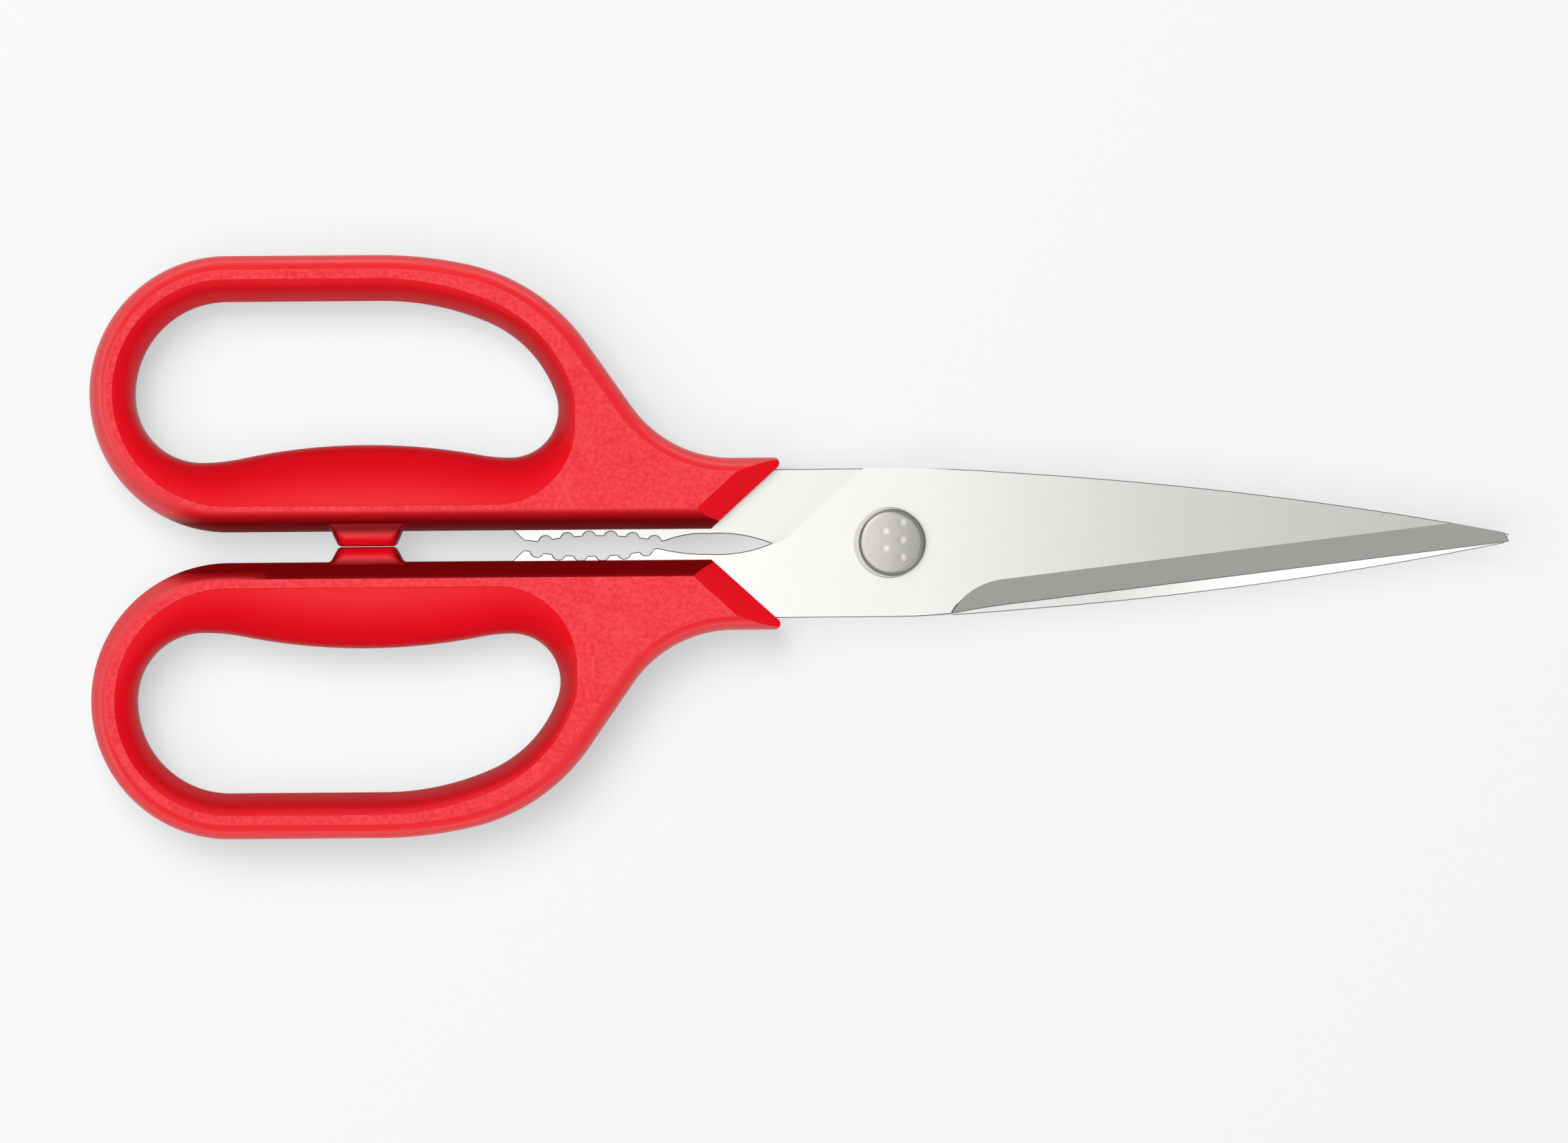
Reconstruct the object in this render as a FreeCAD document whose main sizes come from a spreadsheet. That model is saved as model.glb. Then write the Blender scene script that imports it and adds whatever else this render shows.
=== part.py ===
import FreeCAD, Part
import Sketcher
import math
import os

# Straight-bladed multi-purpose kitchen shears: two overmoulded halves on one pivot screw.
# Millimetres.  The origin is on the pivot axis in the plane that the shears rest on,
# +X points to the blades' tips and +Z up through the screw's head.  The front half, which
# lies above the other, has its handle on the -Y side.  The rear half is the same design
# turned half a turn about X, so blades and handles are drawn as the front half's.

V = FreeCAD.Vector
doc = FreeCAD.newDocument("kitchen_shears")

# --- driving dimensions ------------------------------------------------------------------

DIMENSIONS = [
    ("handle_thick", 11.2, "handle, underside to top"),
    ("stock", 2.5, "blade steel"),
    ("blade_gap", 0.1, "between the two blades' inner faces"),
    ("shank_half", 11.0, "pivot to the shank's long sides"),
    ("tip_reach", 91.4, "pivot to the blades' points"),
    ("edge_land", 0.35, "steel left under the bevel at the cutting edge"),
    ("bevel_width", 3.8, "bevel, square to the cutting edge"),
    ("tooth_pitch", 3.24, "jaw teeth"),
    ("notch_width", 1.9, "jaw teeth"),
    ("notch_depth", 0.72, "jaw teeth"),
    ("anchor_dia", 4.0, "holes in the tang that the handle's plastic fills"),
    ("loop_far", 43.1, "centre line to the finger loop's far side"),
    ("near_side", 2.3, "centre line to the handle's near side"),
    ("loop_end", 98.1, "pivot to the centre of the finger loop's round end"),
    ("rim_width", 6.7, "finger loop's rim"),
    ("flank", 12.7, "centre line to the collar's outer side"),
    ("outer_round", 2.4, "rounding of the handle's outside"),
    ("hole_round", 3.0, "rounding of the finger hole"),
    ("facet_run", 3.6, "slope at the collar's end, seen from above"),
    ("facet_drop", 2.6, "slope at the collar's end, its height"),
    ("tip_cut", 1.2, "taken off both sides of the collar's pointed corner"),
    ("stop_thick", 6.0, "stop pad, along Z"),
    ("stop_root", 11.8, "stop pad's length where it leaves the handle"),
    ("stop_bend", 0.8, "hollow and rounded corner of the stop pad's sides"),
    ("stop_gap", 0.1, "between the two stop pads when shut"),
    ("shoulder_dia", 6.0, "pivot screw's bearing"),
    ("running_gap", 0.05, "clearance of the front blade on the screw"),
    ("neck_flats", 5.2, "across the flats of the screw's keyed neck"),
    ("thread_dia", 5.0, "pivot screw's thread, kept plain"),
    ("thread_chamfer", 0.3, "at the screw's end"),
    ("head_dia", 9.9, "pivot screw"),
    ("head_height", 2.2, "pivot screw"),
    ("head_crown", 0.2, "rise of the head's domed top"),
    ("head_round", 0.8, "rounding of the head's rim"),
    ("washer_dia", 10.45, "washer under the head"),
    ("washer_bore", 6.9, "loose, so the washer can sit off centre"),
    ("washer_shift", 0.4, "how far off centre the washer sits"),
    ("washer_thick", 0.5, "both washers"),
    ("nut_flats", 8.0, "across flats"),
    ("nut_chamfer", 0.45, "on the nut's lower corners"),
]

sheet = doc.addObject("Spreadsheet::Sheet", "Dimensions")
for row, (alias, value, meaning) in enumerate(DIMENSIONS, start=1):
    sheet.set(f"A{row}", alias)
    sheet.set(f"B{row}", str(value))
    sheet.setAlias(f"B{row}", alias)
    sheet.set(f"C{row}", meaning)
doc.recompute()


def size(alias):
    return float(sheet.get(alias))


THICK = size("handle_thick")
BLADE_LOW = (THICK + size("blade_gap")) / 2
BLADE_TOP = BLADE_LOW + size("stock")
HEAD_LOW = BLADE_TOP + size("running_gap") + size("washer_thick")

LOW_EXPRESSION = "(Dimensions.handle_thick + Dimensions.blade_gap) / 2"
TOP_EXPRESSION = LOW_EXPRESSION + " + Dimensions.stock"

# --- outlines ----------------------------------------------------------------------------


class Outline:
    """A chain of lines and arcs.  Turns are tangent, and a positive turn is to the left."""

    def __init__(self, x, y, heading=0.0):
        self.at = V(x, y, 0)
        self.heading = math.radians(heading)
        self.edges = []

    def line_to(self, x, y):
        end = V(x, y, 0)
        self.edges.append(Part.LineSegment(self.at, end))
        self.at = end

    def arc_to(self, through, end):
        self.edges.append(Part.Arc(self.at, V(*through, 0), V(*end, 0)))
        self.at = V(*end, 0)

    def run(self, length):
        x = self.at.x + length * math.cos(self.heading)
        y = self.at.y + length * math.sin(self.heading)
        self.line_to(x, y)

    def turn(self, radius, degrees):
        side = math.copysign(1, degrees)
        left = V(-math.sin(self.heading), math.cos(self.heading), 0)
        centre = self.at + left * (side * radius)
        spoke = self.at - centre
        axis = V(0, 0, 1)
        middle = centre + FreeCAD.Rotation(axis, degrees / 2).multVec(spoke)
        end = centre + FreeCAD.Rotation(axis, degrees).multVec(spoke)
        self.arc_to((middle.x, middle.y), (end.x, end.y))
        self.heading += math.radians(degrees)


COLLAR_TIP = V(-15.3, -size("flank"), 0)
COLLAR_HEEL = V(-26.7, -size("near_side"), 0)
COLLAR_ALONG = (COLLAR_HEEL - COLLAR_TIP).normalize()
SHOULDER_SLOPE = 55.1
SHOULDER_HOLLOW = 18.1


def handle_outline():
    """The handle's outside: finger loop, shoulder, collar with a slanting end, near side."""
    far, near, end_x = size("loop_far"), size("near_side"), size("loop_end")
    way = Outline(-end_x, -far)
    way.run(22.2)
    way.turn(62.0, 12.6)
    way.turn(28.8, SHOULDER_SLOPE - 12.6)
    rise_left = -size("flank") - way.at.y
    rise_left -= SHOULDER_HOLLOW * (1 - math.cos(way.heading))
    way.run(rise_left / math.sin(way.heading))
    way.turn(SHOULDER_HOLLOW, -SHOULDER_SLOPE)
    blunt = COLLAR_TIP + COLLAR_ALONG * size("tip_cut")
    way.line_to(COLLAR_TIP.x - size("tip_cut"), COLLAR_TIP.y)
    way.line_to(blunt.x, blunt.y)
    way.line_to(COLLAR_HEEL.x, COLLAR_HEEL.y)
    way.line_to(-end_x, -near)
    way.arc_to((-end_x - (far - near) / 2, -(far + near) / 2), (-end_x, -far))
    return way.edges


# The finger hole's turns, from its far side round its front end and along its near side,
# which swells towards the finger, to its round end: radius, degrees.
HOLE_TURNS = [
    (39.8, 23.5),
    (18.1, 47.1),
    (7.15, 109.4),
    (23.9, 10.8),
    (90.5, -22.4),
    (29.6, 11.6),
    (9.9, 90.0),
]
HOLE_END_RADIUS = 13.7


def hole_walk(far_run, end_run):
    way = Outline(-size("loop_end"), size("rim_width") - size("loop_far"))
    way.run(far_run)
    for radius, degrees in HOLE_TURNS:
        way.turn(radius, degrees)
    way.run(end_run)
    way.turn(HOLE_END_RADIUS, 90.0)
    return way


def hole_outline():
    """The finger hole, closed by the lengths of its two straight runs."""
    start = Outline(-size("loop_end"), size("rim_width") - size("loop_far")).at
    miss = hole_walk(1.0, 1.0).at - start
    return hole_walk(1.0 - miss.x, 1.0 + miss.y).edges


HEEL = (9.5, -10.46)
EDGE_START = (17.8, -9.2)
POINT = (size("tip_reach"), -0.57)
SPINE_END = (90.6, 0.8)
ALMOND_TIP = (-17.8, 0.0)
NECK_AHEAD = 10.0
TEETH = 6


def tooth_line(x, crown):
    """The curve along the jaw teeth's flat tops."""
    return -(crown[1] - 0.0104 * (x - crown[0]) ** 2)


def blade_outline(crown):
    """Cutting edge, shank, tang, jaw teeth, bottle opener's half almond, shoulder, spine."""
    half = size("shank_half")
    way = Outline(*POINT)
    way.line_to(*EDGE_START)
    way.arc_to((13.6, -9.76), HEEL)
    way.arc_to((4.9, -10.87), (0.0, -half))
    way.line_to(-21.0, -half)
    way.line_to(-29.0, -9.4)
    way.line_to(-57.0, -9.4)
    way.line_to(-58.4, -8.0)
    way.line_to(-58.4, -4.5)
    way.line_to(-54.4, -0.7)
    for count in range(TEETH):
        middle = crown[0] - 7.8 + count * size("tooth_pitch")
        left, right = (middle + side * size("notch_width") / 2 for side in (-1, 1))
        way.line_to(left, tooth_line(left, crown))
        bottom = tooth_line(middle, crown) - size("notch_depth")
        way.arc_to((middle, bottom), (right, tooth_line(right, crown)))
    way.line_to(crown[0] + NECK_AHEAD, -0.53)
    way.arc_to((-31.0, -1.25), (-27.0, -1.5))
    way.arc_to((-21.9, -1.2), ALMOND_TIP)
    way.line_to(-15.6, 0.75)
    way.line_to(-4.2, half)
    way.arc_to((8.0, 10.84), (17.7, 10.2))
    way.arc_to((50.6, 7.1), SPINE_END)
    way.line_to(*POINT)
    return way.edges


ANCHORS = [(-50.0, -6.0), (-40.0, -6.0), (-30.0, -6.0)]


def circle(x, y, radius):
    return [Part.Circle(V(x, y, 0), V(0, 0, 1), radius)]


def keyed_bore():
    """A round hole with two flats, for the screw's neck."""
    radius, flat = size("shoulder_dia") / 2, size("neck_flats") / 2
    corner = math.sqrt(radius**2 - flat**2)
    way = Outline(-corner, -flat)
    way.line_to(corner, -flat)
    way.arc_to((radius, 0.0), (corner, flat))
    way.line_to(-corner, flat)
    way.arc_to((-radius, 0.0), (-corner, -flat))
    return way.edges


def anchors():
    """The tang's holes, which the handle's plastic fills."""
    return [circle(*spot, size("anchor_dia") / 2) for spot in ANCHORS]


STOP_MIDDLE = -77.6
STOP_SLANT = 62.0
STOP_ROOTED = 1.5


def stop_outline():
    """The pad on the near side that stops the handles, with slanting sides."""
    near, face = -size("near_side"), -size("stop_gap") / 2
    bend, slant = size("stop_bend"), math.radians(STOP_SLANT)
    slope = (face - near - 2 * bend * (1 - math.cos(slant))) / math.sin(slant)
    right = STOP_MIDDLE + size("stop_root") / 2
    way = Outline(right, near, 180.0)
    way.turn(bend, -STOP_SLANT)
    way.run(slope)
    way.turn(bend, STOP_SLANT)
    way.run(2 * (way.at.x - STOP_MIDDLE))
    way.turn(bend, STOP_SLANT)
    way.run(slope)
    way.turn(bend, -STOP_SLANT)
    way.line_to(way.at.x, near - STOP_ROOTED)
    way.line_to(right, near - STOP_ROOTED)
    way.line_to(right, near)
    return way.edges


# --- features ----------------------------------------------------------------------------


def new_body(name):
    body = doc.addObject("PartDesign::Body", name)
    body.Label = name
    return body


def sketch(body, name, outlines, height="0", role="XY_Plane", tilt=None):
    """A sketch on one of the body's own planes, raised by an expression or tilted."""
    made = body.newObject("Sketcher::SketchObject", f"{body.Name}_{name}")
    plane = next(f for f in body.Origin.OriginFeatures if f.Role == role)
    made.AttachmentSupport = [(plane, "")]
    made.MapMode = "FlatFace"
    if tilt:
        made.AttachmentOffset = tilt
    elif height != "0":
        made.setExpression("AttachmentOffset.Base.z", height)
    for edges in outlines:
        made.addGeometry(edges, False)
    doc.recompute()
    return made


def bind_circle(made, number, expression):
    """Give a sketch's circle a radius constraint that follows the sheet."""
    made.addConstraint(Sketcher.Constraint("Radius", number, 1.0))
    made.setExpression(f"Constraints[{made.ConstraintCount - 1}]", expression)


def feature(body, kind, profile, **expressions):
    """A sketch-based feature; a cut that takes nothing away stops the build."""
    before = body.Shape.Volume if body.Tip else 0.0
    made = body.newObject(f"PartDesign::{kind}", f"{profile.Name}_{kind.lower()}")
    made.Profile = profile
    for prop, expression in expressions.items():
        made.setExpression(prop, expression)
    doc.recompute()
    grown = made.Shape.Volume - before
    if (grown < 1e-3) if kind == "Pad" else (grown > -1e-3):
        raise RuntimeError(f"{made.Name} changes nothing")
    return made


def rim_edges(shape, inner):
    """Names of the edges round the flat top and underside, or round the holes in them."""
    rims = []
    for face in shape.Faces:
        if abs(face.normalAt(0, 0).z) < 0.99 or face.Surface.TypeId != "Part::GeomPlane":
            continue
        for wire in face.Wires:
            if wire.isSame(face.OuterWire) != inner:
                rims += wire.Edges
    return [
        f"Edge{number}"
        for number, edge in enumerate(shape.Edges, start=1)
        if any(edge.isSame(rim) for rim in rims) and not on_collar_end(edge)
    ]


def on_collar_end(edge):
    """Whether an edge lies along the collar's slanting end or its blunt corner."""
    middle = edge.valueAt((edge.FirstParameter + edge.LastParameter) / 2)
    off = abs((middle - COLLAR_TIP).cross(COLLAR_ALONG).z)
    return off < size("tip_cut") / 2


def fillet(body, base, edges, radius):
    made = body.newObject("PartDesign::Fillet", f"{base.Name}_round")
    made.Base = (base, edges)
    made.setExpression("Radius", radius)
    doc.recompute()
    return made


def frame_of(origin, along, across):
    """The placement whose X and Y axes lie along two square directions."""
    up = along.cross(across)
    columns = [v for trio in zip(along, across, up, origin) for v in trio]
    return FreeCAD.Placement(FreeCAD.Matrix(*columns, 0, 0, 0, 1))


def cut_block(body, name, placement, length, width, height):
    block = body.newObject("PartDesign::SubtractiveBox", f"{body.Name}_{name}")
    block.Length, block.Width, block.Height = length, width, height
    block.Placement = placement
    doc.recompute()
    return block


# --- the halves --------------------------------------------------------------------------


def blade(name, crown, pivot_hole):
    """Blade, shank and tang in one flat piece, with one long bevel at the cutting edge."""
    body = new_body(name)
    flat = sketch(body, "outline", [blade_outline(crown), pivot_hole, *anchors()], LOW_EXPRESSION)
    feature(body, "Pad", flat, Length="Dimensions.stock")

    # The bevel's plane passes through the cutting edge and rises towards the spine.
    start, point = V(*EDGE_START, 0), V(*POINT, 0)
    along = (point - start).normalize()
    rise = size("stock") - size("edge_land")
    up_slope = V(-along.y * size("bevel_width"), along.x * size("bevel_width"), rise)
    origin = start + V(0, 0, BLADE_LOW + size("edge_land"))
    tilt = frame_of(origin, along, up_slope.normalize())
    bevel = sketch(body, "bevel", [bevel_outline()], tilt=tilt)
    cut = body.newObject("PartDesign::Pocket", f"{name}_bevel_pocket")
    cut.Profile = bevel
    cut.UseCustomVector = True
    cut.Direction = V(0, 0, 1)
    cut.AlongSketchNormal = False
    cut.Length = size("stock")
    doc.recompute()
    return body


def bevel_outline():
    """The ground area in its own plane: X along the cutting edge, Y up the slope."""
    length = size("tip_reach")
    way = Outline(-9.8, -1.5)
    way.line_to(length, -1.5)
    way.line_to(length, 7.0)
    way.line_to(1.0, 7.0)
    way.line_to(-1.0, 4.38)
    way.arc_to((-7.7, 1.6), (-9.8, -1.5))
    return way.edges


# The block that cuts a facet: length, width, height, and how far it starts before the ridge.
FACET_BLOCK = (30.0, 12.0, 6.0, 2.0)


def handle(name, crown):
    """One-piece moulded handle round the tang, with its stop pad."""
    body = new_body(name)
    outside = sketch(body, "outline", [handle_outline()])
    solid = feature(body, "Pad", outside, Length="Dimensions.handle_thick")
    solid = fillet(body, solid, rim_edges(solid.Shape, False), "Dimensions.outer_round")
    hole = sketch(body, "hole", [hole_outline()], "Dimensions.handle_thick")
    solid = feature(body, "Pocket", hole, Length="Dimensions.handle_thick")
    solid = fillet(body, solid, rim_edges(solid.Shape, True), "Dimensions.hole_round")

    # Two sloping facets thin the collar towards its slanting end.
    outward = V(COLLAR_ALONG.y, -COLLAR_ALONG.x, 0)
    run, drop = size("facet_run"), size("facet_drop")
    length, width, height, ahead = FACET_BLOCK
    for side, level in ((1, THICK), (-1, 0.0)):
        down = (outward * run - V(0, 0, side * drop)).normalize()
        ridge = (COLLAR_TIP + COLLAR_HEEL) * 0.5 - outward * run + V(0, 0, level)
        slide = COLLAR_ALONG * -side
        corner = ridge - slide * (length / 2) - down * ahead
        cut_block(body, f"facet_{'over' if side > 0 else 'under'}",
                  frame_of(corner, slide, down), length, width, height)

    pad_low = "(Dimensions.handle_thick - Dimensions.stop_thick) / 2"
    stop = sketch(body, "stop", [stop_outline()], pad_low)
    feature(body, "Pad", stop, Length="Dimensions.stop_thick")

    tang = sketch(body, "tang", [blade_outline(crown), *anchors()], TOP_EXPRESSION)
    feature(body, "Pocket", tang, Length="Dimensions.stock")
    return body


FRONT_CROWN = (-44.7, 1.65)
REAR_CROWN = (-43.5, 1.30)
HALF_TURN = FreeCAD.Placement(V(0, 0, THICK), FreeCAD.Rotation(V(1, 0, 0), 180))

running_hole = circle(0, 0, size("shoulder_dia") / 2 + size("running_gap"))
front_blade = blade("front_blade", FRONT_CROWN, running_hole)
front_handle = handle("front_handle", FRONT_CROWN)
rear_blade = blade("rear_blade", REAR_CROWN, keyed_bore())
rear_handle = handle("rear_handle", REAR_CROWN)
for half in (rear_blade, rear_handle):
    half.Placement = HALF_TURN
doc.recompute()

# --- pivot -------------------------------------------------------------------------------


def pivot_screw():
    """Domed head, bearing for the front blade, keyed neck in the rear blade, thread."""
    body = new_body("pivot_screw")
    head, bearing = size("head_dia") / 2, size("shoulder_dia") / 2
    thread, soft = size("thread_dia") / 2, size("head_round")
    top = HEAD_LOW + size("head_height")
    rim_top = top - size("head_crown")
    neck_low = THICK - BLADE_TOP
    way = Outline(0.0, 0.0)
    way.line_to(thread - size("thread_chamfer"), 0.0)
    way.line_to(thread, size("thread_chamfer"))
    way.line_to(thread, neck_low)
    way.line_to(bearing, neck_low)
    way.line_to(bearing, HEAD_LOW)
    way.line_to(head, HEAD_LOW)
    way.line_to(head, rim_top - soft)
    bulge = soft * (1 - math.sqrt(0.5))
    way.arc_to((head - bulge, rim_top - bulge), (head - soft, rim_top))
    dome = ((head - soft) ** 2 + size("head_crown") ** 2) / (2 * size("head_crown"))
    half_way, flat_centre = (head - soft) / 2, 0.3
    heights = [top - dome + math.sqrt(dome**2 - r**2) for r in (half_way, flat_centre)]
    way.arc_to((half_way, heights[0]), (flat_centre, heights[1]))
    way.line_to(0.0, heights[1])
    way.line_to(0.0, 0.0)
    profile = sketch(body, "profile", [way.edges], role="XZ_Plane")
    turned = body.newObject("PartDesign::Revolution", "pivot_screw_turned")
    turned.Profile = profile
    turned.ReferenceAxis = (profile, ["V_Axis"])
    turned.Angle = 360
    doc.recompute()

    flat, width = size("neck_flats") / 2, bearing
    for side in (1, -1):
        low_y = flat if side > 0 else -flat - width
        corner = FreeCAD.Placement(V(-head, low_y, neck_low), FreeCAD.Rotation())
        cut_block(body, f"flat_{'left' if side > 0 else 'right'}", corner,
                  2 * head, width, size("stock"))
    return body


def washer(name, height, outer, bore, shift=0.0):
    """A flat ring, its two radii bound to the sheet."""
    body = new_body(name)
    ring = sketch(body, "ring", [circle(0, 0, 5.0), circle(0, 0, 3.0)], height)
    bind_circle(ring, 0, outer)
    bind_circle(ring, 1, bore)
    feature(body, "Pad", ring, Length="Dimensions.washer_thick")
    body.Placement = FreeCAD.Placement(V(shift, 0, 0), FreeCAD.Rotation())
    return body


def pivot_nut():
    """Thin hexagon nut flush with the screw's end, its lower corners turned off."""
    body = new_body("pivot_nut")
    corner = size("nut_flats") / math.sqrt(3)
    angles = [math.radians(60 * number) for number in range(7)]
    way = Outline(corner, 0.0)
    for angle in angles[1:]:
        way.line_to(corner * math.cos(angle), corner * math.sin(angle))
    hexagon = sketch(body, "hexagon", [way.edges, circle(0, 0, 2.0)])
    bind_circle(hexagon, 6, "Dimensions.thread_dia / 2")
    height = "Dimensions.handle_thick - (" + TOP_EXPRESSION + ") - Dimensions.washer_thick"
    feature(body, "Pad", hexagon, Length=height)

    side, down, below = size("nut_flats") / 2, size("nut_chamfer"), -0.1
    beyond = corner + 1.0
    way = Outline(side, below)
    way.line_to(beyond, below)
    way.line_to(beyond, (beyond - side) * down / (corner - side))
    way.line_to(side, 0.0)
    way.line_to(side, below)
    profile = sketch(body, "corners", [way.edges], role="XZ_Plane")
    groove = body.newObject("PartDesign::Groove", "pivot_nut_groove")
    groove.Profile = profile
    groove.ReferenceAxis = (profile, ["V_Axis"])
    groove.Angle = 360
    doc.recompute()
    return body


pivot = [
    pivot_screw(),
    washer(
        "head_washer",
        TOP_EXPRESSION + " + Dimensions.running_gap",
        "Dimensions.washer_dia / 2",
        "Dimensions.washer_bore / 2",
        -size("washer_shift"),
    ),
    washer(
        "nut_washer",
        "Dimensions.handle_thick - (" + TOP_EXPRESSION + ") - Dimensions.washer_thick",
        "Dimensions.washer_dia / 2",
        "Dimensions.thread_dia / 2",
    ),
    pivot_nut(),
]
doc.recompute()

# --- checks and files --------------------------------------------------------------------

for thing in doc.Objects:
    if "Invalid" in thing.State or "Error" in thing.State:
        raise RuntimeError(f"{thing.Label} failed: {thing.State}")

nodes = [front_blade, front_handle, rear_blade, rear_handle, *pivot]
for node in nodes:
    shape = node.Shape
    if shape.isNull() or not shape.isValid() or len(shape.Solids) != 1:
        raise RuntimeError(f"{node.Label} is not one valid solid")

os.makedirs("parts", exist_ok=True)
for node in nodes:
    node.Shape.exportStep(f"parts/{node.Label}.step")
    print(f"{node.Label}: {node.Shape.Volume:.1f} mm3")
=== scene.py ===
import math

import bmesh
import bpy
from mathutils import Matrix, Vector


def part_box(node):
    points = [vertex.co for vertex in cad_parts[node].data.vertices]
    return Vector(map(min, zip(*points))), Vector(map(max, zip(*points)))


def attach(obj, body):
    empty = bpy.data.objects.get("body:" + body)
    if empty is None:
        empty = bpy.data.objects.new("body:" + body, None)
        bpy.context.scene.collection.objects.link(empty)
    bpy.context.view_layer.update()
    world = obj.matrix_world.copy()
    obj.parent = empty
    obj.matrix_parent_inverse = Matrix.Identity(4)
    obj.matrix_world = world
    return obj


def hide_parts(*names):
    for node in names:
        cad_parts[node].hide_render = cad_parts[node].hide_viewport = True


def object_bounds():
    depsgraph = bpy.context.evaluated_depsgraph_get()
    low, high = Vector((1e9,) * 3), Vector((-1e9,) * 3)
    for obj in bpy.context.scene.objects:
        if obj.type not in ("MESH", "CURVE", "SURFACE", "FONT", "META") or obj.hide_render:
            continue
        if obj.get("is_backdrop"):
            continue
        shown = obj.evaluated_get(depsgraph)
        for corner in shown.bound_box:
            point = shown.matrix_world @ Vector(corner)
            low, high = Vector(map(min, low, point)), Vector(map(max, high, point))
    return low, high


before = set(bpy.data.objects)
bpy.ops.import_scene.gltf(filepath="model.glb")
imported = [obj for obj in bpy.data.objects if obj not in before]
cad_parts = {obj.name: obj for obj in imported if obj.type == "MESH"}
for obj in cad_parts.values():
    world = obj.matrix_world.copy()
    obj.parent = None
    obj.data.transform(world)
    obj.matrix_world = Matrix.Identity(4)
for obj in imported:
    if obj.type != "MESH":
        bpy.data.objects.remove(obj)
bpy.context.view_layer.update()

# Finished looks for a pair of straight kitchen shears.  Outlines are in millimetres in the
# row's XY plane: origin on the pivot axis, +X to the blades' points, +Z up.  Everything is
# drawn as the front half, whose handle is on the -Y side; the rear half is the same design
# turned half a turn about X.

MM = 0.001
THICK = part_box("front_handle")[1].z / MM
MIDDLE = THICK / 2

# --- outlines ----------------------------------------------------------------------------


class Path:
    """Straight runs and tangent arcs; a positive turn is to the left."""

    def __init__(self, x, y, heading=0.0):
        self.at = Vector((x, y))
        self.heading = math.radians(heading)
        self.legs = []

    def _leg(self, length, bend):
        self.legs.append((self.at, self.heading, length, bend))
        self.at, self.heading = self.along(len(self.legs) - 1, length)

    def run(self, length):
        self._leg(length, 0.0)

    def turn(self, radius, degrees):
        self._leg(radius * math.radians(abs(degrees)), math.copysign(1 / radius, degrees))

    def along(self, leg, distance):
        """The point and the heading at a distance along one leg."""
        start, heading, _, bend = self.legs[leg]
        if not bend:
            return start + Vector((math.cos(heading), math.sin(heading))) * distance, heading
        new = heading + distance * bend
        chord = Vector((math.sin(new) - math.sin(heading), math.cos(heading) - math.cos(new)))
        return start + chord / bend, new

    def spread(self, first, last, count):
        """Points and headings spaced evenly over legs first to last, without the last end."""
        lengths = [leg[2] for leg in self.legs[first:last + 1]]
        found = []
        for number in range(count):
            left = sum(lengths) * number / count
            leg = first
            while left > self.legs[leg][2]:
                left -= self.legs[leg][2]
                leg += 1
            found.append(self.along(leg, left))
        return found


FAR, NEAR, LOOP_END = 43.1, 2.3, 98.1
END_ROUND = (FAR - NEAR) / 2
FAR_RUN = 22.2
SHOULDER_EASE, SHOULDER_EASE_TURN = 62.0, 12.6
SHOULDER_ROUND = 28.8
SHOULDER_SLOPE = 55.1
SHOULDER_HOLLOW = 18.1
FLANK = 12.7
COLLAR_TIP = Vector((-15.3, -FLANK))
COLLAR_HEEL = Vector((-26.7, -NEAR))
COLLAR_BEYOND = -12.0


def outside_path():
    """The handle's outside, with the collar carried on past its slanting end."""
    path = Path(-LOOP_END, -FAR)
    path.run(FAR_RUN)
    path.turn(SHOULDER_EASE, SHOULDER_EASE_TURN)
    path.turn(SHOULDER_ROUND, SHOULDER_SLOPE - SHOULDER_EASE_TURN)
    climb = -FLANK - path.at.y - SHOULDER_HOLLOW * (1 - math.cos(path.heading))
    path.run(climb / math.sin(path.heading))
    path.turn(SHOULDER_HOLLOW, -SHOULDER_SLOPE)
    path.run(COLLAR_BEYOND - path.at.x)
    path.turn((FLANK - NEAR) / 2, 180)
    path.run(path.at.x + LOOP_END)
    path.turn(END_ROUND, 180)
    return path


# Materials of the handle's faces, in the order of its material slots.
SMOOTH, TEXTURED, OUTER, BETWEEN, STOP = 0, 1, 2, 3, 4

# Where each leg of the outside path starts: the rounding's width seen from above, the half
# height of the upright wall below it, and how far its round turns into a straight slope.
# GAP marks the side by the other handle, which differs between the halves.
GAP = None
ROUNDINGS = [
    (2.15, 2.6, 0.0),
    (2.1, 2.6, 0.0),
    (2.1, 2.6, 0.0),
    (2.05, 2.4, 0.0),
    (2.0, 2.4, 0.0),
    (1.95, 2.4, 0.0),
    (2.2, 1.5, 0.0),
    GAP,
    GAP,
    (2.15, 2.6, 0.0),
]
FRONT_GAP = (2.3, 2.55, 0.9)
REAR_GAP = (2.9, 0.4, 0.55)
OUTSIDE_STEP = 0.7


def outside_loop(gap):
    """Points, inward directions, roundings and materials, evenly spaced."""
    path = outside_path()
    loop = []
    for number, leg in enumerate(path.legs):
        first, last = (row or gap for row in ROUNDINGS[number:number + 2])
        count = max(4, round(leg[2] / OUTSIDE_STEP))
        for step, (point, heading) in enumerate(path.spread(number, number, count)):
            share = step / count
            shape = tuple(a * (1 - share) + b * share for a, b in zip(first, last))
            inward = Vector((-math.sin(heading), math.cos(heading)))
            material = BETWEEN if first is last is FRONT_GAP else OUTER
            loop.append((point, inward, shape, material))
    return loop


CREASE_FAR, CREASE_NEAR = 39.45, 6.13
CREASE_CORNER = 11.7
CREASE_TURNS = [(42.85, 23.5), (21.2, 47.1), (10.2, 19.4)]


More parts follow.
